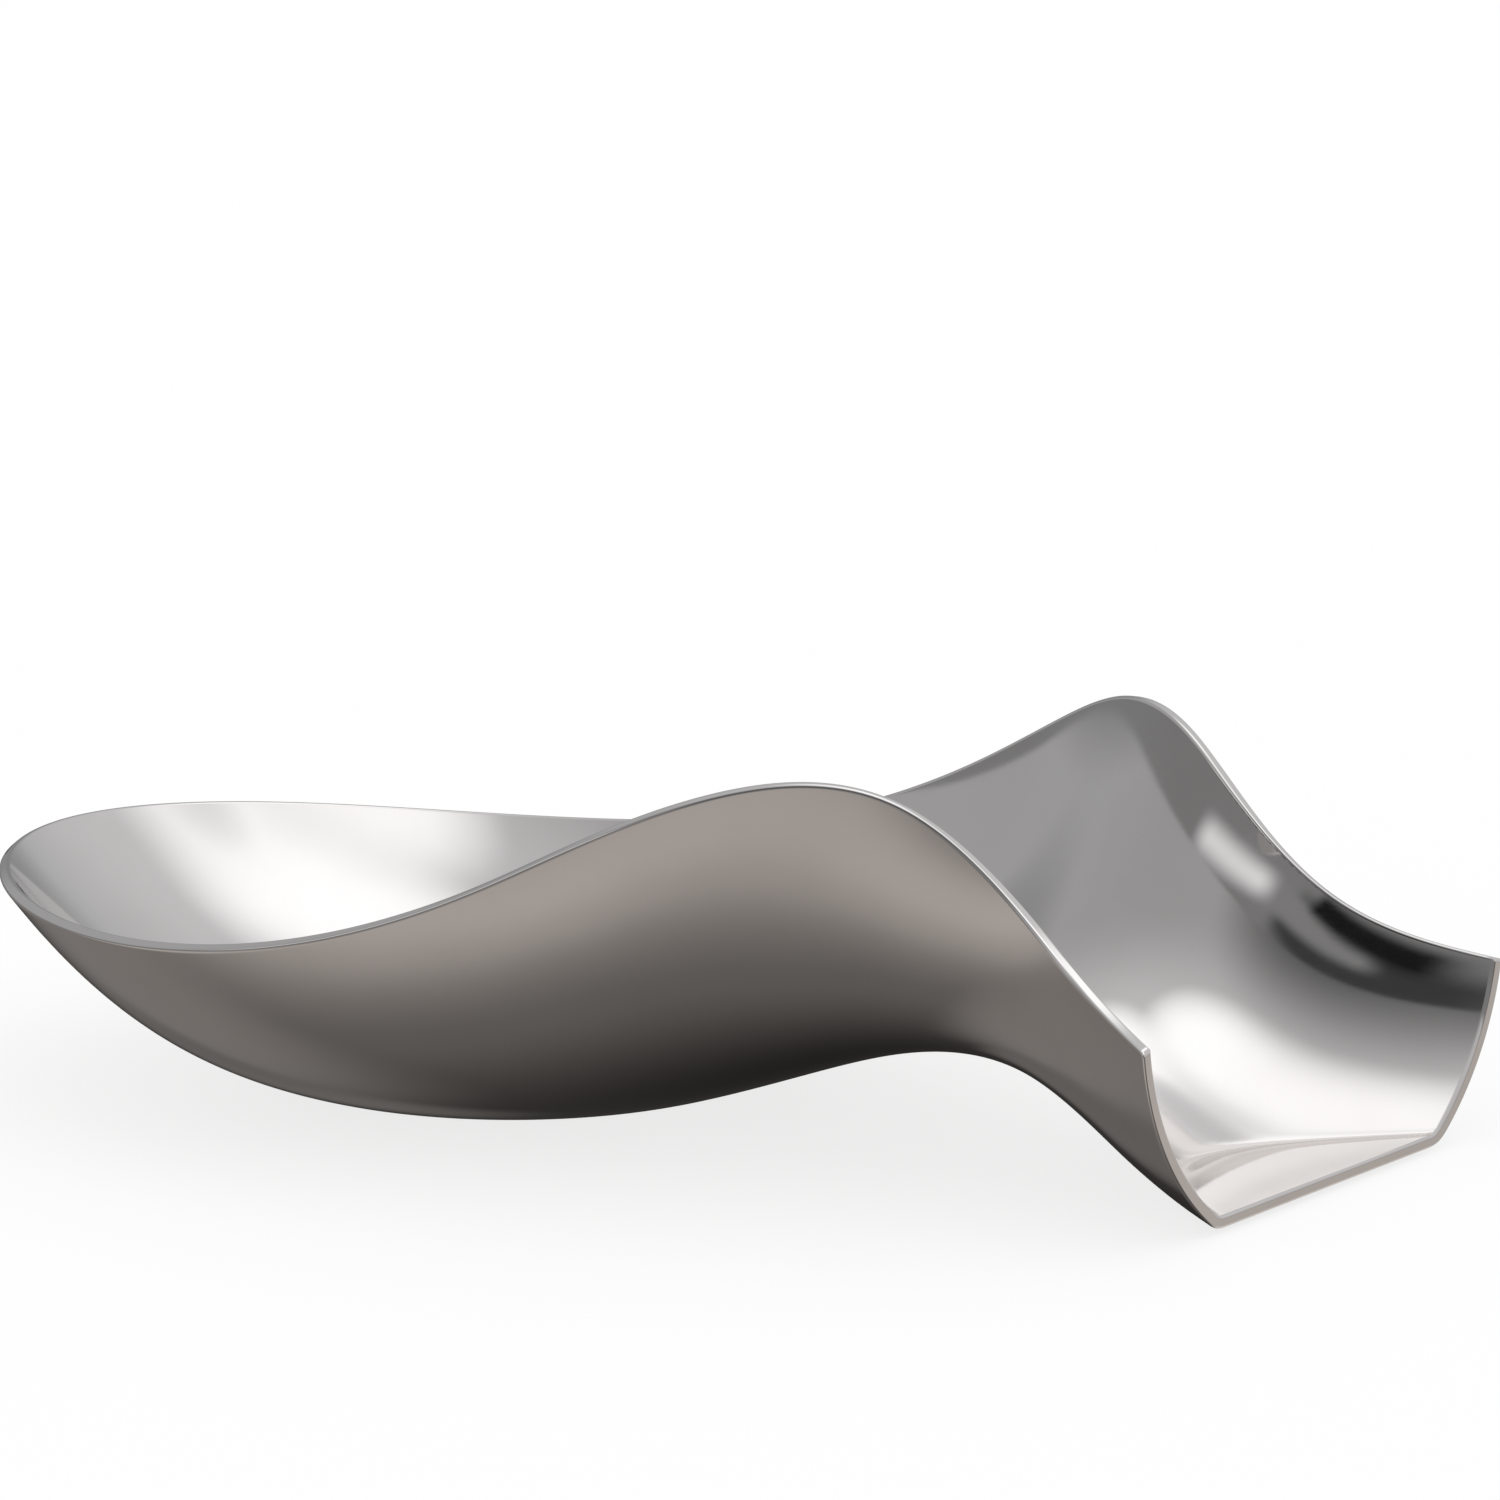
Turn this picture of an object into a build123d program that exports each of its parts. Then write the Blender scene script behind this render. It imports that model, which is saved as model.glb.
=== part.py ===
from build123d import *

import os
from math import asin, cos, radians, sin, sqrt

# Cast metal serving dish with a wave-shaped rim: a wide oval bowl at one end and an
# open trough with raised side crests at the other.  The trough falls to a lip that
# rests flat on the table.
#
# While it is shaped, x runs from the tip of the bowl (0) to the lip, y across the dish
# and z up, with the table at z = 0.  The finished parts are moved so that the origin
# is on the table under the middle of the dish.  Millimetres and degrees.

# ---- driving dimensions -------------------------------------------------------
length = 340.0
wall = 3.0
roll_angle = 3.2  # the whole form leans, so the -y rim stands a little higher

bowl_centre_x = 122.0  # widest place of the bowl; the rim closes round to the tip
tip_fullness = 1.15  # 1 gives an elliptical tip; more makes it slimmer

# Half width of the rim, from the bowl centre to the lip.
width_stations = [0.0, 0.2, 0.4, 0.6, 0.8, 1.0]
half_widths = [117.0, 112.5, 104.0, 75.5, 60.5, 83.0]

# Height of the rim, from the tip to the lip.
rim_stations = [0.0, 0.15, 0.3, 0.42, 0.54, 0.66, 0.78, 0.9, 1.0]
rim_heights = [48.5, 43.5, 44.5, 52.0, 68.5, 89.0, 90.0, 57.0, 43.0]

# Height of the centre line under the dish, from the bowl centre to the lip.  A
# value below zero is ground off flat at table level.
floor_stations = [0.0, 0.2, 0.4, 0.55, 0.7, 0.85, 1.0]
floor_heights = [-5.0, -0.5, 13.5, 22.0, 18.0, -1.0, -14.0]

# Steepness of the wall at the rim, and how far the section's bottom is flattened.
wall_stations = [0.0, 0.3, 0.6, 0.8, 1.0]
wall_angles = [40.0, 57.0, 77.0, 80.5, 81.5]
bottom_flatness = [0.0, 0.4, 0.15, 0.0, 0.0]

ground_blend = 3.0  # depth over which a flat ground at the table runs into the wall

pad_diameter = 10.0
pad_height = 1.2  # the casting stands this far above the table, on its pads
bowl_pad_centre = (118.0, 14.0)  # middle of the flat ground under the bowl
bowl_pad_radius = 22.0
bowl_pad_angles = {"bowl_pad_rear": 180.0, "bowl_pad_left": 60.0, "bowl_pad_right": -60.0}
lip_pad_x = 328.0
lip_pad_ys = {"lip_pad_left": 29.0, "lip_pad_right": -19.0}

# ---- sections used for the two skins ------------------------------------------
sections_along = 65
points_across = 65
slope_step = 1.0e-4


def spline(knots, values, clamped_start):
    """A cubic spline through the values, free at its end and at its start unless clamped."""
    count = len(knots)
    gaps = [knots[i + 1] - knots[i] for i in range(count - 1)]
    slopes = [(values[i + 1] - values[i]) / gaps[i] for i in range(count - 1)]
    diagonal = [2.0 * gaps[0] if clamped_start else 1.0]
    upper = [gaps[0] if clamped_start else 0.0]
    right = [6.0 * slopes[0] if clamped_start else 0.0]
    for i in range(1, count):
        last = i == count - 1
        lower = 0.0 if last else gaps[i - 1]
        centre = 1.0 if last else 2.0 * (gaps[i - 1] + gaps[i])
        target = 0.0 if last else 6.0 * (slopes[i] - slopes[i - 1])
        factor = lower / diagonal[i - 1]
        diagonal.append(centre - factor * upper[i - 1])
        upper.append(0.0 if last else gaps[i])
        right.append(target - factor * right[i - 1])
    bends = [0.0] * count
    for i in reversed(range(count)):
        after = upper[i] * bends[i + 1] if i < count - 1 else 0.0
        bends[i] = (right[i] - after) / diagonal[i]

    def value_at(x):
        i = 0
        while i < count - 2 and x > knots[i + 1]:
            i += 1
        a = (knots[i + 1] - x) / gaps[i]
        b = 1.0 - a
        curve = ((a**3 - a) * bends[i] + (b**3 - b) * bends[i + 1]) * gaps[i] ** 2 / 6.0
        return a * values[i] + b * values[i + 1] + curve

    return value_at


def from_bowl_centre(stations):
    return [bowl_centre_x + s * (length - bowl_centre_x) for s in stations]


def from_tip(stations):
    return [s * length for s in stations]


half_width_at = spline(from_bowl_centre(width_stations), half_widths, True)
floor_at = spline(from_bowl_centre(floor_stations), floor_heights, True)
rim_height_at = spline(from_tip(rim_stations), rim_heights, False)
wall_angle_at = spline(from_tip(wall_stations), wall_angles, False)
flatness_at = spline(from_tip(wall_stations), bottom_flatness, False)


def ground(z):
    """Flatten everything below the table to the table, with a short blend."""
    if z >= ground_blend:
        return z
    depth = max(0.0, (z + ground_blend) / (2.0 * ground_blend))
    return 2.0 * ground_blend * depth**3 * (1.0 - depth / 2.0)


def outer_point(along, across):
    """Point of the outer skin: along 0..1 from tip to lip, across -1..1 rim to rim."""
    x = length * along**2 * (2.0 - along)
    toward_tip = max(0.0, (bowl_centre_x - x) / bowl_centre_x)
    closing = toward_tip**2 * (tip_fullness + (1.0 - tip_fullness) * toward_tip)
    main_x = max(x, bowl_centre_x)
    steepest = radians(wall_angle_at(x))
    side = sin(across * steepest) / sin(steepest)
    radius = sqrt(closing + (1.0 - closing) * side**2)
    y = half_width_at(main_x) * sqrt(max(0.0, 1.0 - closing)) * side
    climb = (1.0 - cos(asin(min(1.0, radius * sin(steepest))))) / (1.0 - cos(steepest))
    flatness = flatness_at(x)
    climb = climb * (1.0 - flatness + flatness * climb)
    bottom = floor_at(main_x)
    z = bottom + (rim_height_at(x) - bottom) * climb
    lean = radians(roll_angle)
    rolled_y = cos(lean) * y + sin(lean) * z
    rolled_z = -sin(lean) * y + cos(lean) * z
    return Vector(x, rolled_y, pad_height + ground(rolled_z))


def inner_point(along, across):
    """The matching point of the inner skin, one wall thickness up the surface normal."""
    along = max(along, 2.0 * slope_step)
    lengthwise = outer_point(along + slope_step, across) - outer_point(along - slope_step, across)
    crosswise = outer_point(along, across + slope_step) - outer_point(along, across - slope_step)
    return outer_point(along, across) + lengthwise.cross(crosswise).normalized() * wall


def lip_reach(across):
    """How far along the outer skin the inner skin meets the plane of the lip."""
    low, high = 0.95, 1.05
    for _ in range(24):
        middle = (low + high) / 2.0
        if inner_point(middle, across).X < length:
            low = middle
        else:
            high = middle
    return high


acrosses = [2.0 * j / (points_across - 1) - 1.0 for j in range(points_across)]


def skin(point_at, reaches):
    """One skin, lofted from the tip through the cross sections; returns its face."""
    wires = []
    for i in range(1, sections_along):
        along = i / (sections_along - 1)
        points = [point_at(along * reach, c) for c, reach in zip(acrosses, reaches)]
        if i == sections_along - 1:
            points = [Vector(length, p.Y, p.Z) for p in points]
        wires.append(Wire([Edge.make_spline(points, parameters=acrosses)]))
    return Shell.make_loft([Vertex(point_at(0.0, 0.0))] + wires).faces()[0]


def skin_edges(face):
    """The -y rim, the +y rim and the lip edge of a skin."""
    lip = face.edges().sort_by(lambda e: (e @ 0.5).X)[-1]
    rims = [e for e in face.edges() if not e.is_same(lip)]
    near, far = sorted(rims, key=lambda e: (e @ 0.5).Y)
    return near, far, lip


def cast_shell():
    """The whole casting: two skins, the cut rim between them and the flat end of the lip."""
    outer = skin(outer_point, [1.0] * points_across)
    inner = skin(inner_point, [lip_reach(c) for c in acrosses])
    outer_near, outer_far, outer_lip = skin_edges(outer)
    inner_near, inner_far, inner_lip = skin_edges(inner)
    near_rim = Face.make_surface_from_curves(outer_near, inner_near)
    far_rim = Face.make_surface_from_curves(outer_far, inner_far)
    lip_end = Face.make_surface_from_curves(outer_lip, inner_lip)
    return Solid(Shell([outer, inner, near_rim, far_rim, lip_end]))


def pad(x, y, casting):
    """A soft disc between the table and the casting, its top following the metal."""
    disc = Solid.make_cylinder(pad_diameter / 2.0, pad_height + 0.1, Plane((x, y, 0.0)))
    return (disc - casting).solids().sort_by(Axis.Z)[0]


os.makedirs("parts", exist_ok=True)

shell = cast_shell()
parts = {"cast_shell": shell}
for name, angle in bowl_pad_angles.items():
    pad_x = bowl_pad_centre[0] + bowl_pad_radius * cos(radians(angle))
    pad_y = bowl_pad_centre[1] + bowl_pad_radius * sin(radians(angle))
    parts[name] = pad(pad_x, pad_y, shell)
for name, pad_y in lip_pad_ys.items():
    parts[name] = pad(lip_pad_x, pad_y, shell)

middle = shell.bounding_box().center()
to_origin = Location((-middle.X, -middle.Y, 0.0))
for name, solid in parts.items():
    export_step(to_origin * solid, f"parts/{name}.step")
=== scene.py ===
# Wave dish: the looks of a polished cast metal serving dish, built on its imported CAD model.
# The casting's surface formula and sizes are the same as the CAD part's, in millimetres,
# and are turned into metres when a mesh is made.

import math

import bpy
import numpy as np
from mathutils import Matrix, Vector


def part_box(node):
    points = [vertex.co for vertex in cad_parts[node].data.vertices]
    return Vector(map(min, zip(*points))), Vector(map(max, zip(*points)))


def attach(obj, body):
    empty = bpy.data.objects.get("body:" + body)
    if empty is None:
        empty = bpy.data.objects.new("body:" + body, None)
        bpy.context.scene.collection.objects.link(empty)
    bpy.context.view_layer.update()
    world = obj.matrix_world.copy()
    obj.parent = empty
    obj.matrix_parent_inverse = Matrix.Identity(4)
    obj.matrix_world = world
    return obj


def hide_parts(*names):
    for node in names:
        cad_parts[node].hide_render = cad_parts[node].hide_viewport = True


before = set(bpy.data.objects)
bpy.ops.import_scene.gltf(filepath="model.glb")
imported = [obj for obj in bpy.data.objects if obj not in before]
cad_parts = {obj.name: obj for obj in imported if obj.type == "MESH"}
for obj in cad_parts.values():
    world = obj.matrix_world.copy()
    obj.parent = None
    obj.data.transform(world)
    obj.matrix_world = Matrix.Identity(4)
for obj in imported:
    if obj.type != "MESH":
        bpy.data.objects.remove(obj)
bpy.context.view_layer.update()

MM = 0.001

# ---- the casting's dimensions, mm and degrees -----------------------------------
length = 340.0
wall = 3.0
roll_angle = 3.2

bowl_centre_x = 122.0
tip_fullness = 1.15

width_stations = [0.0, 0.2, 0.4, 0.6, 0.8, 1.0]
half_widths = [117.0, 112.5, 104.0, 75.5, 60.5, 83.0]

rim_stations = [0.0, 0.15, 0.3, 0.42, 0.54, 0.66, 0.78, 0.9, 1.0]
rim_heights = [48.5, 43.5, 44.5, 52.0, 68.5, 89.0, 90.0, 57.0, 43.0]

floor_stations = [0.0, 0.2, 0.4, 0.55, 0.7, 0.85, 1.0]
floor_heights = [-5.0, -0.5, 13.5, 22.0, 18.0, -1.0, -14.0]

wall_stations = [0.0, 0.3, 0.6, 0.8, 1.0]
wall_angles = [40.0, 57.0, 77.0, 80.5, 81.5]
bottom_flatness = [0.0, 0.4, 0.15, 0.0, 0.0]

ground_blend = 3.0
pad_height = 1.2
edge_bevel = 1.0  # rounding of the cut rim's two edges

# ---- small steps for reading the surface's directions, mm and a share of the width --
x_step = 0.01
side_step = 1e-4

# ---- mesh density ---------------------------------------------------------------
trough_steps = 120  # from the lip to the bowl's centre
fan_steps = 110  # round the bowl's tip
depth_steps = 84  # from the centre line up to the rim
bevel_steps = 6
land_steps = 2


def spline(knots, values, clamped_start):
    """A cubic spline through the values, free at its end and at its start unless clamped."""
    knots = np.array(knots)
    values = np.array(values)
    gaps = np.diff(knots)
    slopes = np.diff(values) / gaps
    count = len(knots)
    matrix = np.zeros((count, count))
    target = np.zeros(count)
    matrix[0, 0] = 1.0
    matrix[-1, -1] = 1.0
    if clamped_start:
        matrix[0, :2] = [2.0 * gaps[0], gaps[0]]
        target[0] = 6.0 * slopes[0]
    for i in range(1, count - 1):
        matrix[i, i - 1 : i + 2] = [gaps[i - 1], 2.0 * (gaps[i - 1] + gaps[i]), gaps[i]]
        target[i] = 6.0 * (slopes[i] - slopes[i - 1])
    bends = np.linalg.solve(matrix, target)

    def value_at(x):
        i = np.clip(np.searchsorted(knots, x) - 1, 0, count - 2)
        a = (knots[i + 1] - x) / gaps[i]
        b = 1.0 - a
        curve = ((a**3 - a) * bends[i] + (b**3 - b) * bends[i + 1]) * gaps[i] ** 2 / 6.0
        return a * values[i] + b * values[i + 1] + curve

    return value_at


def from_bowl_centre(stations):
    return [bowl_centre_x + s * (length - bowl_centre_x) for s in stations]


def from_tip(stations):
    return [s * length for s in stations]


half_width_at = spline(from_bowl_centre(width_stations), half_widths, True)
floor_at = spline(from_bowl_centre(floor_stations), floor_heights, True)
rim_height_at = spline(from_tip(rim_stations), rim_heights, False)
wall_angle_at = spline(from_tip(wall_stations), wall_angles, False)
flatness_at = spline(from_tip(wall_stations), bottom_flatness, False)


def closing_at(toward_tip):
    """How far the rim has closed in, squared: 0 at the bowl's centre and 1 at its tip."""
    return toward_tip**2 * (tip_fullness + (1.0 - tip_fullness) * toward_tip)


def ground(z):
    """Flatten everything below the table to the table, with a short blend."""
    depth = np.clip((z + ground_blend) / (2.0 * ground_blend), 0.0, 1.0)
    blended = 2.0 * ground_blend * depth**3 * (1.0 - depth / 2.0)
    return np.where(z >= ground_blend, z, blended)


def outer_point(x, side):
    """Points of the outer skin at x, with side -1..1 the share of the bowl's half width."""
    toward_tip = np.maximum(0.0, (bowl_centre_x - x) / bowl_centre_x)
    main_x = np.maximum(x, bowl_centre_x)
    steepest = np.radians(wall_angle_at(x))
    reach = np.sqrt(closing_at(toward_tip) + side**2) * np.sin(steepest)
    climb = (1.0 - np.sqrt(1.0 - np.minimum(reach, 0.9999) ** 2)) / (1.0 - np.cos(steepest))
    flatness = flatness_at(x)
    climb = climb * (1.0 - flatness + flatness * climb)
    y = half_width_at(main_x) * side
    bottom = floor_at(main_x)
    z = bottom + (rim_height_at(x) - bottom) * climb
    lean = math.radians(roll_angle)
    rolled_y = math.cos(lean) * y + math.sin(lean) * z
    rolled_z = -math.sin(lean) * y + math.cos(lean) * z
    return np.stack([x, rolled_y, pad_height + ground(rolled_z)], axis=-1)


def unit(vectors):
    return vectors / np.linalg.norm(vectors, axis=-1, keepdims=True)


def lengthwise_at(x, side):
    return unit(outer_point(x + x_step, side) - outer_point(x - x_step, side))


def normal_at(x, side):
    """The normal on the dish's inner side."""
    crosswise = outer_point(x, side + side_step) - outer_point(x, side - side_step)
    return unit(np.cross(lengthwise_at(x, side), crosswise))


def inner_point(x, side):
    return outer_point(x, side) + wall * normal_at(x, side)


def plan_grid():
    """x and side for every station round the rim (rows) and every depth (columns)."""
    depths = np.linspace(0.0, 1.0, depth_steps + 1)
    trough_x = np.linspace(length, bowl_centre_x, trough_steps + 1)[:-1]
    steepest = np.radians(wall_angle_at(trough_x))[:, None]
    trough_side = np.sin(depths[None, :] * steepest) / np.sin(steepest)
    trough_x = np.repeat(trough_x[:, None], depth_steps + 1, axis=1)
    turn = np.linspace(-math.pi / 2.0, math.pi / 2.0, fan_steps + 1)[:, None]
    steepest = math.radians(float(wall_angle_at(np.array(bowl_centre_x))))
    share = np.sin(depths[None, :] * steepest) / math.sin(steepest)
    fan_x = bowl_centre_x * (1.0 - share * np.cos(turn))
    fan_side = share * np.sign(turn) * np.sqrt(np.maximum(0.0, 1.0 - closing_at(np.cos(turn))))
    x = np.vstack([trough_x, fan_x, trough_x[::-1]])
    side = np.vstack([-trough_side, fan_side, trough_side[::-1]])
    return x, side


def stretched_for_inner(x, side):
    """Move the trough's stations so that the inner skin ends in the plane of the lip."""
    end_x = np.full_like(x, length)
    for _ in range(8):
        end_x += length - inner_point(end_x, side)[..., 0]
    share = np.maximum(0.0, (x - bowl_centre_x) / (length - bowl_centre_x))
    return x + share**4 * (end_x - length)


def ease(start, corner, end, steps):
    """Points of a short rounding from start to end that is pulled towards corner."""
    t = np.linspace(0.0, 1.0, steps + 1)[:, None, None]
    return (1.0 - t) ** 2 * start + 2.0 * t * (1.0 - t) * corner + t**2 * end


def blend(first, second, steps):
    t = np.linspace(0.0, 1.0, steps + 1)[:, None, None]
    return (1.0 - t) * first + t * second


def casting_mesh():
    """Vertices, normals and faces of the whole casting, with a bevelled cut edge."""
    x, side = plan_grid()
    inner_x = stretched_for_inner(x, side)
    rows, columns = x.shape
    outer = outer_point(x, side)
    outer_normals = -normal_at(x, side)
    inner = inner_point(inner_x, side)
    inner_normals = normal_at(inner_x, side)

    # The open boundary: along the rim from lip to lip, then back across the lip.
    loop = [(i, columns - 1) for i in range(rows)]
    loop += [(rows - 1, j) for j in range(columns - 2, -1, -1)]
    loop += [(0, j) for j in range(1, columns - 1)]
    loop_rows = np.array([i for i, j in loop])
    loop_columns = np.array([j for i, j in loop])
    on_rim = loop_columns == columns - 1
    on_lip = (loop_rows == 0) | (loop_rows == rows - 1)

    def outward(points, plan_x):
        """Direction in the skin that leads out over the edge."""
        before = np.roll(np.arange(rows), 1)
        after = np.roll(np.arange(rows), -1)
        before[0] = 0
        after[-1] = rows - 1
        rim = points[after, -1] - points[before, -1]
        rim_normals = normal_at(plan_x[:, -1], side[:, -1])
        over_rim = unit(np.cross(rim, rim_normals))
        over_rim *= np.sign(np.sum(over_rim * (points[:, -1] - points[:, -3]), axis=-1))[:, None]
        over_lip = lengthwise_at(plan_x, side)
        result = np.zeros((len(loop), 3))
        result[on_rim] += over_rim[loop_rows[on_rim]]
        result[on_lip] += over_lip[loop_rows[on_lip], loop_columns[on_lip]]
        return result

    outer_out = outward(outer, x)
    inner_out = outward(inner, inner_x)
    outer_edge = outer[loop_rows, loop_columns]
    inner_edge = inner[loop_rows, loop_columns]
    through = unit(inner_edge - outer_edge)
    outer_start = outer_edge - edge_bevel * outer_out
    inner_start = inner_edge - edge_bevel * inner_out
    land_outer = outer_edge + edge_bevel * through
    land_inner = inner_edge - edge_bevel * through
    land_normal = unit(outer_out - np.sum(outer_out * through, axis=-1, keepdims=True) * through)
    lip_only = on_lip & ~on_rim
    land_normal[lip_only] = [1.0, 0.0, 0.0]
    outer_skin_normal = outer_normals[loop_rows, loop_columns]
    inner_skin_normal = inner_normals[loop_rows, loop_columns]
    profile = np.concatenate([
        ease(outer_start, outer_edge, land_outer, bevel_steps),
        blend(land_outer, land_inner, land_steps)[1:-1],
        ease(land_inner, inner_edge, inner_start, bevel_steps),
    ])
    profile_normals = np.concatenate([
        blend(outer_skin_normal, land_normal, bevel_steps),
        blend(land_normal, land_normal, land_steps)[1:-1],
        blend(land_normal, inner_skin_normal, bevel_steps),
    ])

    vertices, normals, faces = [], [], []

    def add(point, normal):
        vertices.append(point)
        normals.append(normal)
        return len(vertices) - 1

    strip = [
        [add(profile[j, i], profile_normals[j, i]) for i in range(len(loop))]
        for j in range(len(profile))
    ]
    at_loop = {place: i for i, place in enumerate(loop)}
    middle_row = trough_steps

    def skin_indices(points, point_normals, edge_strip):
        indices = -np.ones((rows, columns), dtype=int)
        for i in range(rows):
            for j in range(columns):
                mirrored = rows - 1 - i
                if (i, j) in at_loop:
                    indices[i, j] = edge_strip[at_loop[(i, j)]]
                elif j == 0 and i > middle_row:
                    indices[i, j] = indices[min(mirrored, middle_row), 0]
                else:
                    indices[i, j] = add(points[i, j], point_normals[i, j])
        indices[0, 0] = indices[rows - 1, 0]
        return indices

    outer_indices = skin_indices(outer, outer_normals, strip[0])
    inner_indices = skin_indices(inner, inner_normals, strip[-1])
    for i in range(rows - 1):
        for j in range(columns - 1):
            corners = [(i, j), (i + 1, j), (i + 1, j + 1), (i, j + 1)]
            faces.append([inner_indices[c] for c in corners])
            faces.append([outer_indices[c] for c in reversed(corners)])
    for j in range(len(profile) - 1):
        for i in range(len(loop)):
            after = (i + 1) % len(loop)
            faces.append([strip[j][i], strip[j + 1][i], strip[j + 1][after], strip[j][after]])
    tidy_faces = []
    for face in faces:
        kept = [int(v) for k, v in enumerate(face) if v != face[k - 1]]
        if len(set(kept)) >= 3:
            tidy_faces.append(kept)
    return np.array(vertices), unit(np.array(normals)), tidy_faces


def mesh_object(name, vertices, faces, normals=None):
    """A smooth-shaded object from vertices in metres."""
    mesh = bpy.data.meshes.new(name)
    mesh.from_pydata([tuple(v) for v in vertices], [], faces)
    mesh.update()
    mesh.polygons.foreach_set("use_smooth", [True] * len(mesh.polygons))
    if normals is not None:
        mesh.normals_split_custom_set_from_vertices([tuple(n) for n in normals])
    piece = bpy.data.objects.new(name, mesh)
    bpy.context.scene.collection.objects.link(piece)
    return piece


def new_material(name):
    material = bpy.data.materials.new(name)
    material.use_nodes = True
    return material, material.node_tree.nodes, material.node_tree.links


def add_node(nodes, kind, **inputs):
    node = nodes.new(kind)
    for name, value in inputs.items():
        node.inputs[name.replace("_", " ")].default_value = value
    return node


def polished_metal():
    """Polished cast alloy: a near-mirror sheen with faint polishing lines and waviness."""
    material, nodes, links = new_material("polished_alloy")
    surface = nodes["Principled BSDF"]
    surface.inputs["Metallic"].default_value = 1.0
    surface.inputs["IOR"].default_value = 1.5
    place = nodes.new("ShaderNodeTexCoord")

    # Slow variation of tone, as the alloy and its polish are not quite even.
    clouds = add_node(nodes, "ShaderNodeTexNoise", Scale=14.0, Detail=5.0, Roughness=0.55)
    links.new(place.outputs["Object"], clouds.inputs["Vector"])
    tone = nodes.new("ShaderNodeValToRGB")
    tone.color_ramp.elements[0].position = 0.3
    tone.color_ramp.elements[0].color = (0.70, 0.675, 0.655, 1.0)
    tone.color_ramp.elements[1].position = 0.72
    tone.color_ramp.elements[1].color = (0.78, 0.755, 0.735, 1.0)
    links.new(clouds.outputs["Fac"], tone.inputs["Fac"])
    links.new(tone.outputs["Color"], surface.inputs["Base Color"])

    # Fine polishing lines run along the dish.
    stretch = nodes.new("ShaderNodeMapping")
    stretch.inputs["Scale"].default_value = (60.0, 900.0, 900.0)
    links.new(place.outputs["Object"], stretch.inputs["Vector"])
    lines = add_node(nodes, "ShaderNodeTexNoise", Scale=1.0, Detail=4.0, Roughness=0.6)
    links.new(stretch.outputs["Vector"], lines.inputs["Vector"])
    patches = add_node(nodes, "ShaderNodeTexNoise", Scale=38.0, Detail=6.0, Roughness=0.6)
    links.new(place.outputs["Object"], patches.inputs["Vector"])
    mixed = nodes.new("ShaderNodeMath")
    mixed.operation = "MULTIPLY"
    links.new(lines.outputs["Fac"], mixed.inputs[0])
    links.new(patches.outputs["Fac"], mixed.inputs[1])
    sheen = nodes.new("ShaderNodeMapRange")
    sheen.inputs["From Min"].default_value = 0.1
    sheen.inputs["From Max"].default_value = 0.42
    sheen.inputs["To Min"].default_value = 0.05
    sheen.inputs["To Max"].default_value = 0.09
    links.new(mixed.outputs["Value"], sheen.inputs["Value"])
    links.new(sheen.outputs["Result"], surface.inputs["Roughness"])

    # Faint unevenness left by hand polishing, and the polishing lines' own relief.
    waves = add_node(nodes, "ShaderNodeTexNoise", Scale=26.0, Detail=2.0, Roughness=0.4)
    links.new(place.outputs["Object"], waves.inputs["Vector"])
    wave_bump = add_node(nodes, "ShaderNodeBump", Strength=0.25, Distance=0.0004)
    links.new(waves.outputs["Fac"], wave_bump.inputs["Height"])
    line_bump = add_node(nodes, "ShaderNodeBump", Strength=0.08, Distance=0.00002)
    links.new(lines.outputs["Fac"], line_bump.inputs["Height"])
    links.new(wave_bump.outputs["Normal"], line_bump.inputs["Normal"])
    links.new(line_bump.outputs["Normal"], surface.inputs["Normal"])
    return material


def soft_pad_material():
    """Clear soft elastomer, slightly cloudy."""
    material, nodes, links = new_material("clear_pad")
    surface = nodes["Principled BSDF"]
    surface.inputs["IOR"].default_value = 1.45
    surface.inputs["Transmission Weight"].default_value = 0.45
    place = nodes.new("ShaderNodeTexCoord")
    cloud = add_node(nodes, "ShaderNodeTexNoise", Scale=420.0, Detail=4.0, Roughness=0.6)
    links.new(place.outputs["Object"], cloud.inputs["Vector"])
    tone = nodes.new("ShaderNodeValToRGB")
    tone.color_ramp.elements[0].color = (0.62, 0.62, 0.60, 1.0)
    tone.color_ramp.elements[1].color = (0.80, 0.80, 0.78, 1.0)
    links.new(cloud.outputs["Fac"], tone.inputs["Fac"])
    links.new(tone.outputs["Color"], surface.inputs["Base Color"])
    sheen = nodes.new("ShaderNodeMapRange")
    sheen.inputs["To Min"].default_value = 0.22
    sheen.inputs["To Max"].default_value = 0.42
    links.new(cloud.outputs["Fac"], sheen.inputs["Value"])
    links.new(sheen.outputs["Result"], surface.inputs["Roughness"])
    bump = add_node(nodes, "ShaderNodeBump", Strength=0.15, Distance=0.0001)
    links.new(cloud.outputs["Fac"], bump.inputs["Height"])
    links.new(bump.outputs["Normal"], surface.inputs["Normal"])
    return material


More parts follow.
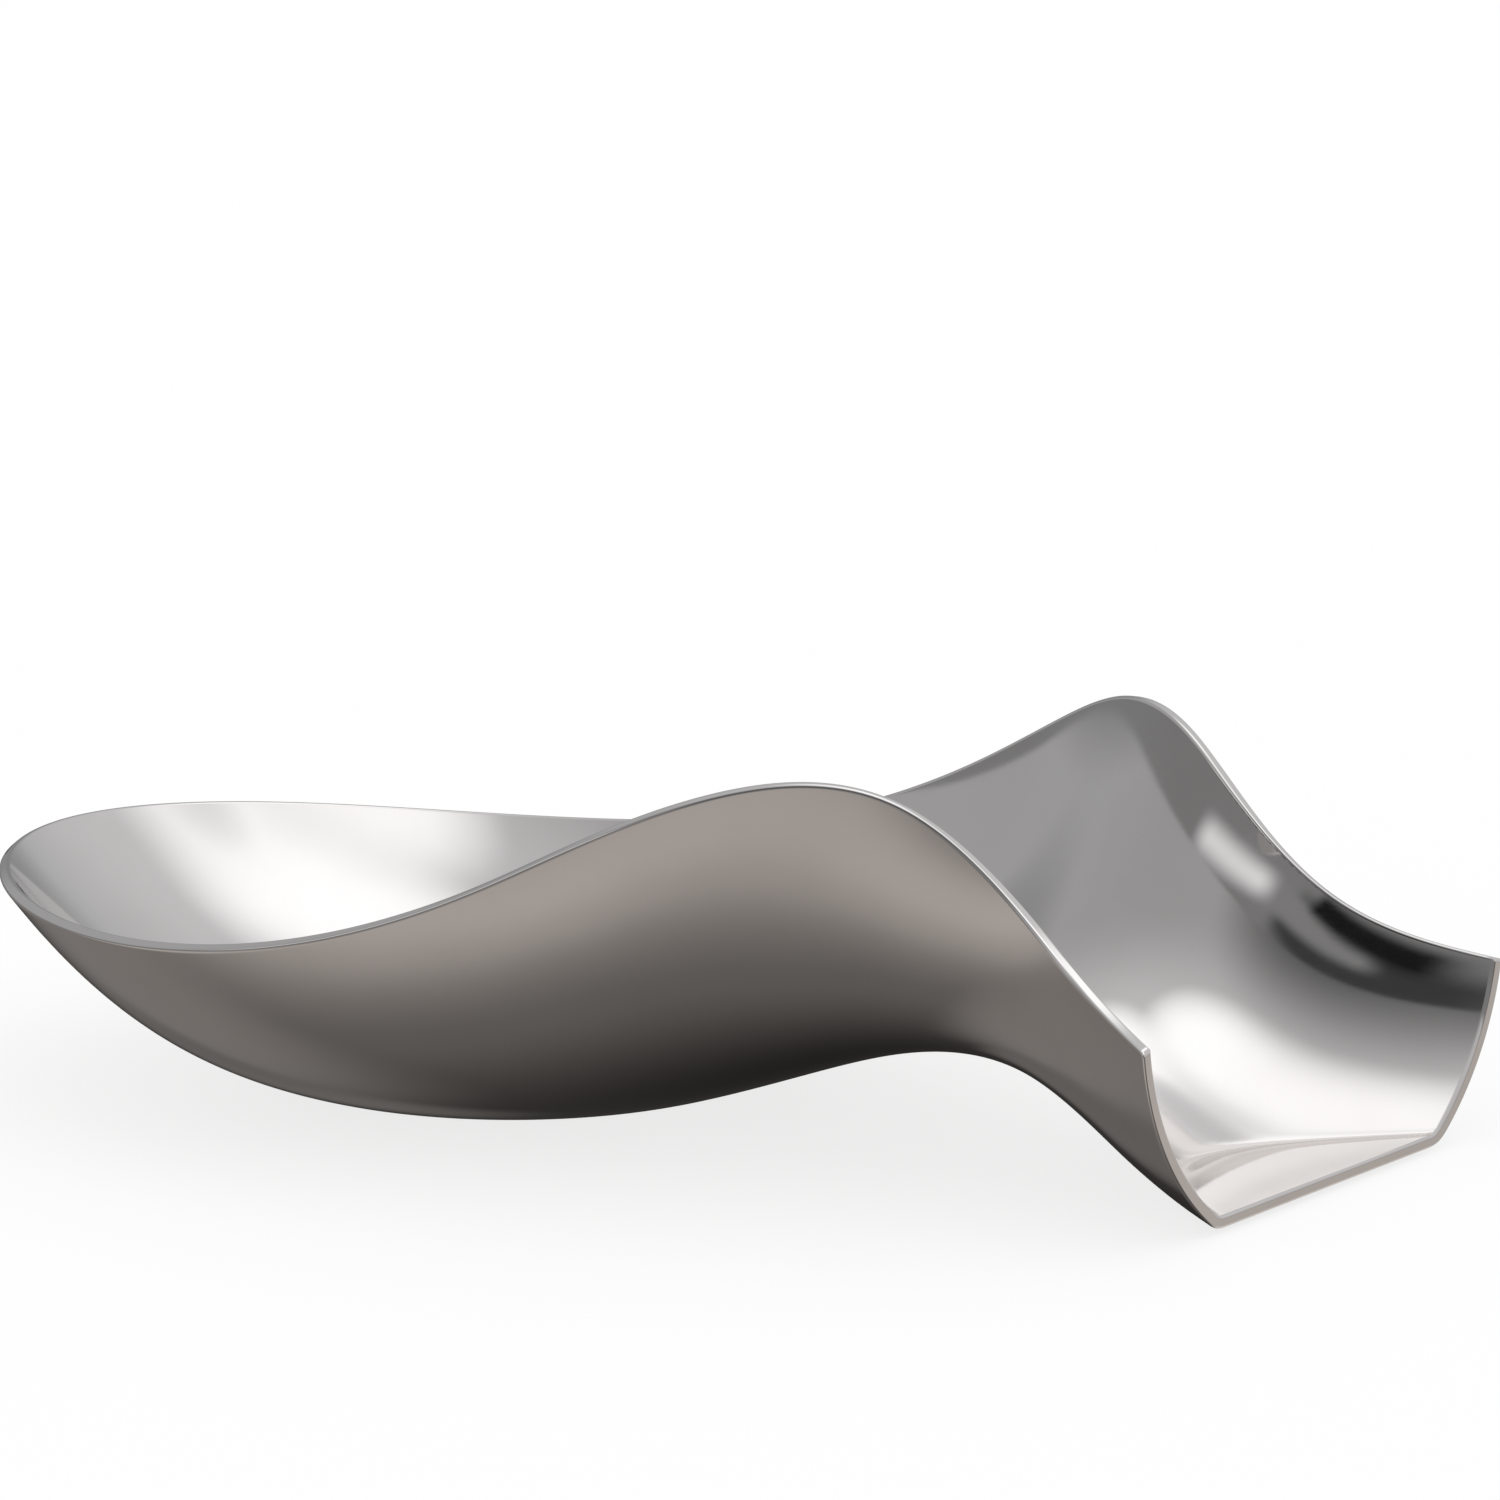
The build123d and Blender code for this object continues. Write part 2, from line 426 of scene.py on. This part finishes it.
def pad_piece(node, material):
    """A moulded bumper pad: flat top, rounded shoulder and a slightly dished sole."""
    low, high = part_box(node)
    radius = (high[0] - low[0]) / 2.0
    height = pad_height * MM
    centre = ((low[0] + high[0]) / 2.0, (low[1] + high[1]) / 2.0)
    profile = [
        (0.0, 0.10), (0.45, 0.07), (0.70, 0.0), (0.84, 0.02), (0.93, 0.12), (0.985, 0.32),
        (1.0, 0.60), (0.98, 0.90), (0.94, 1.0), (0.5, 1.0), (0.0, 1.0),
    ]
    around = 64
    vertices = [(centre[0], centre[1], profile[0][1] * height)]
    for share, rise in profile[1:-1]:
        for k in range(around):
            angle = 2.0 * math.pi * k / around
            x = centre[0] + radius * share * math.cos(angle)
            y = centre[1] + radius * share * math.sin(angle)
            vertices.append((x, y, rise * height))
    vertices.append((centre[0], centre[1], height))
    rings = len(profile) - 2
    faces = []
    for k in range(around):
        after = (k + 1) % around
        faces.append((0, 1 + after, 1 + k))
        for ring in range(rings - 1):
            base = 1 + ring * around
            above = base + around
            faces.append((base + k, base + after, above + after, above + k))
        last = 1 + (rings - 1) * around
        faces.append((len(vertices) - 1, last + k, last + after))
    piece = mesh_object(node + "_moulded", vertices, faces)
    piece.data.materials.append(material)
    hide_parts(node)
    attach(piece, "root")
    return piece


# ---- the pieces -------------------------------------------------------------------
points, point_normals, casting_faces = casting_mesh()
middle_y = (points[:, 1].min() + points[:, 1].max()) / 2.0
points = (points - [length / 2.0, middle_y, 0.0]) * MM
casting = mesh_object("polished_casting", points, casting_faces, point_normals)
casting.data.materials.append(polished_metal())
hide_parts("cast_shell")
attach(casting, "root")

pad_finish = soft_pad_material()
for node in ["bowl_pad_rear", "bowl_pad_left", "bowl_pad_right", "lip_pad_left", "lip_pad_right"]:
    pad_piece(node, pad_finish)

# ---- floor, light and the studio that the metal reflects -----------------------------


def stage_object(name, vertices, faces, material):
    mesh = bpy.data.meshes.new(name)
    mesh.from_pydata(vertices, [], faces)
    mesh.materials.append(material)
    staged = bpy.data.objects.new(name, mesh)
    bpy.context.scene.collection.objects.link(staged)
    return staged


def pale_floor():
    """A plain matt floor; the metal reflects the studio dome below the horizon instead."""
    material, nodes, links = new_material("pale_floor")
    surface = nodes["Principled BSDF"]
    surface.inputs["Base Color"].default_value = (0.2, 0.2, 0.2, 1.0)
    surface.inputs["Roughness"].default_value = 0.9
    surface.inputs["Specular IOR Level"].default_value = 0.0
    surface.inputs["Emission Color"].default_value = (1.0, 1.0, 1.0, 1.0)
    surface.inputs["Emission Strength"].default_value = 0.79
    corners = [(-20, -20, 0), (20, -20, 0), (20, 20, 0), (-20, 20, 0)]
    floor = stage_object("floor", corners, [(0, 1, 2, 3)], material)
    floor.visible_glossy = False


def direction(azimuth, elevation):
    """Unit vector; azimuth 0 is +Y and 90 is +X."""
    a = math.radians(azimuth)
    e = math.radians(elevation)
    return (math.sin(a) * math.cos(e), math.cos(a) * math.cos(e), math.sin(e))


class DomeLight:
    """Builds up the brightness of a dome, layer by layer, as a function of direction."""

    def __init__(self, nodes, links):
        self.nodes = nodes
        self.links = links
        place = nodes.new("ShaderNodeTexCoord")
        self.ray = nodes.new("ShaderNodeVectorMath")
        self.ray.operation = "NORMALIZE"
        links.new(place.outputs["Object"], self.ray.inputs[0])

    def toward(self, vector):
        """How far a direction points along the vector."""
        dot = self.nodes.new("ShaderNodeVectorMath")
        dot.operation = "DOT_PRODUCT"
        dot.inputs[1].default_value = vector
        self.links.new(self.ray.outputs["Vector"], dot.inputs[0])
        return dot.outputs["Value"]

    def maths(self, operation, first, second=None, number=None):
        node = self.nodes.new("ShaderNodeMath")
        node.operation = operation
        self.links.new(first, node.inputs[0])
        if second is not None:
            self.links.new(second, node.inputs[1])
        if number is not None:
            node.inputs[1].default_value = number
        return node.outputs["Value"]

    def soft_step(self, value, low, high):
        step = self.nodes.new("ShaderNodeMapRange")
        step.interpolation_type = "SMOOTHSTEP"
        step.inputs["From Min"].default_value = low
        step.inputs["From Max"].default_value = high
        self.links.new(value, step.inputs["Value"])
        return step.outputs["Result"]

    def layer(self, share, below, level):
        """Mix a level over what is below it; either is a number or a socket."""
        mix = self.nodes.new("ShaderNodeMix")
        self.links.new(share, mix.inputs["Factor"])
        for name, source in (("A", below), ("B", level)):
            if isinstance(source, float):
                mix.inputs[name].default_value = source
            else:
                self.links.new(source, mix.inputs[name])
        return mix.outputs["Result"]

    def spot(self, below, azimuth, elevation, inner, outer, level):
        """A round glow: full within the inner angle, gone beyond the outer one."""
        along = self.toward(direction(azimuth, elevation))
        edge, full = math.cos(math.radians(outer)), math.cos(math.radians(inner))
        return self.layer(self.soft_step(along, edge, full), below, level)

    def within(self, axis, depth, half, softness):
        """1 where a direction is less than the half angle off the centre line, along the axis."""
        offset = self.maths("ABSOLUTE", self.maths("DIVIDE", self.toward(axis), depth))
        edge = math.tan(math.radians(half + softness))
        full = math.tan(math.radians(max(0.1, half - softness)))
        return self.soft_step(offset, edge, full)

    def panel(self, below, azimuth, elevation, width, height, softness, level):
        """A soft-edged rectangle, its half sizes and softness in degrees."""
        centre = Vector(direction(azimuth, elevation))
        across = Vector(direction(azimuth + 90.0, 0.0))
        upward = across.cross(centre)
        depth = self.maths("MAXIMUM", self.toward(centre), number=0.02)
        in_width = self.within(across, depth, width, softness)
        in_height = self.within(upward, depth, height, softness)
        return self.layer(self.maths("MULTIPLY", in_width, in_height), below, level)

    def ramp(self, value, levels):
        """A smooth curve through evenly spaced levels, as value goes from 0 to 1."""
        node = self.nodes.new("ShaderNodeFloatCurve")
        curve = node.mapping.curves[0]
        last = len(levels) - 1
        curve.points[0].location = (0.0, levels[0])
        curve.points[1].location = (1.0, levels[last])
        for i in range(1, last):
            curve.points.new(i / last, levels[i])
        node.mapping.update()
        self.links.new(value, node.inputs["Value"])
        return node.outputs["Value"]


def seen_as(grey):
    """Light that the metal shows as this grey, of 255."""
    return (grey / 255.0) ** 2.2 / 0.745


# What the metal sees above the horizon: a pale tent, brighter overhead.
tent_grey = 150
tent_spots = [
    # azimuth, elevation, inner angle, outer angle, grey
    (38.0, 50.0, 0.0, 76.0, 190),
    (80.0, 66.0, 0.0, 24.0, 256),
    (8.0, 60.0, 0.0, 23.0, 256),
    (31.0, 46.0, 0.0, 12.0, 190),
    (-42.0, 8.0, 4.0, 26.0, 124),
    (145.0, 0.0, 0.0, 66.0, 48),
]
# The tent's crisp front edge: the room shows within this angle of the axis.
opening_axis = (179.0, -62.0)
opening_inner, opening_outer = 102.8, 104.4
opening_grey = 116
opening_panels = [
    # azimuth, elevation, half width, half height, softness, grey
    (135.0, 30.0, 20.0, 10.0, 5.0, 58),
    (165.0, 27.5, 33.0, 5.5, 2.5, 120),
    (200.0, 31.0, 24.0, 3.0, 7.0, 212),
    (136.0, 19.0, 14.0, 4.5, 2.5, 29),
]
# Below the horizon: the table is light towards the camera and dark under and beyond the
# dish, apart from one light patch beyond it.
table_axis = (0.0, -1.0, 0.53)
table_reach = 0.8
table_greys = [66, 84, 93, 112, 140, 154, 132]
table_spots = [
    (20.0, -27.0, 5.0, 38.0, 190),
    (-80.0, -34.0, 0.0, 36.0, 108),
    (-47.0, -29.0, 0.0, 13.0, 88),
]
# Bands along the horizon, over both.
horizon_panels = [
    (-78.0, -3.0, 23.0, 9.0, 6.0, 115),
    (30.0, -13.0, 25.0, 12.0, 5.0, 160),
]


def room_light(dome):
    """The tent's tone above the horizon, with the room showing through its opening."""
    tent = seen_as(tent_grey)
    for azimuth, elevation, inner, outer, grey in tent_spots:
        tent = dome.spot(tent, azimuth, elevation, inner, outer, seen_as(grey))
    beyond = seen_as(opening_grey)
    for azimuth, elevation, width, height, softness, grey in opening_panels:
        beyond = dome.panel(beyond, azimuth, elevation, width, height, softness, seen_as(grey))
    return dome.spot(tent, *opening_axis, opening_inner, opening_outer, beyond)


def table_light(dome):
    """The table's tone below the horizon."""
    along = dome.maths("DIVIDE", dome.toward(table_axis), number=2.0 * table_reach)
    share = dome.maths("ADD", along, number=0.5)
    table = dome.ramp(share, [seen_as(grey) for grey in table_greys])
    for azimuth, elevation, inner, outer, grey in table_spots:
        table = dome.spot(table, azimuth, elevation, inner, outer, seen_as(grey))
    return table


def dome_material():
    material, nodes, links = new_material("studio_dome")
    nodes.remove(nodes["Principled BSDF"])
    dome = DomeLight(nodes, links)
    above = dome.soft_step(dome.toward((0.0, 0.0, 1.0)), -0.03, 0.03)
    brightness = dome.layer(above, table_light(dome), room_light(dome))
    for azimuth, elevation, width, height, softness, grey in horizon_panels:
        level = seen_as(grey)
        brightness = dome.panel(brightness, azimuth, elevation, width, height, softness, level)
    tint = nodes.new("ShaderNodeMix")
    tint.data_type = "RGBA"
    tint.inputs["A"].default_value = (1.07, 1.0, 0.955, 1.0)
    tint.inputs["B"].default_value = (0.99, 1.0, 1.025, 1.0)
    links.new(above, tint.inputs["Factor"])
    light = nodes.new("ShaderNodeEmission")
    links.new(tint.outputs["Result"], light.inputs["Color"])
    links.new(brightness, light.inputs["Strength"])
    links.new(light.outputs["Emission"], nodes["Material Output"].inputs["Surface"])
    return material


def studio_dome():
    """A dome round the dish that only reflections show."""
    radius = 0.8
    rings = 36
    around = 72
    vertices = [(0.0, 0.0, -radius)]
    for i in range(1, rings):
        for k in range(around):
            point = direction(360.0 * k / around, -90.0 + 180.0 * i / rings)
            vertices.append(tuple(radius * v for v in point))
    vertices.append((0.0, 0.0, radius))
    top_ring = 1 + (rings - 2) * around
    faces = []
    for k in range(around):
        after = (k + 1) % around
        faces.append((0, 1 + k, 1 + after))
        for i in range(rings - 2):
            base = 1 + i * around
            faces.append((base + k, base + around + k, base + around + after, base + after))
        faces.append((len(vertices) - 1, top_ring + after, top_ring + k))
    shell = stage_object("studio_dome", vertices, faces, dome_material())
    shell.visible_camera = False
    shell.visible_diffuse = False
    shell.visible_transmission = False
    shell.visible_shadow = False


pale_floor()
studio_dome()

world = bpy.data.worlds.new("studio")
bpy.context.scene.world = world
world.use_nodes = True
daylight = world.node_tree.nodes["Background"]
daylight.inputs["Color"].default_value = (1.0, 1.0, 1.0, 1.0)
daylight.inputs["Strength"].default_value = 1.04

# ---- camera -------------------------------------------------------------------------
camera_azimuth = math.radians(31.0)
camera_elevation = math.radians(12.0)
camera_distance = 5.9
camera_aim = Vector((0.0077, 0.0149, 0.0835))
level = math.cos(camera_elevation)
back = Vector((
    math.sin(camera_azimuth) * level,
    -math.cos(camera_azimuth) * level,
    math.sin(camera_elevation),
))
camera_data = bpy.data.cameras.new("camera")
camera_data.sensor_width = 36.0
camera_data.lens = 611.0
camera_data.clip_end = 100.0
camera = bpy.data.objects.new("camera", camera_data)
bpy.context.scene.collection.objects.link(camera)
camera.location = camera_aim + camera_distance * back
camera.rotation_mode = "QUATERNION"
camera.rotation_quaternion = (-back).to_track_quat("-Z", "Y")
bpy.context.scene.camera = camera

bpy.context.scene.view_settings.view_transform = "Standard"
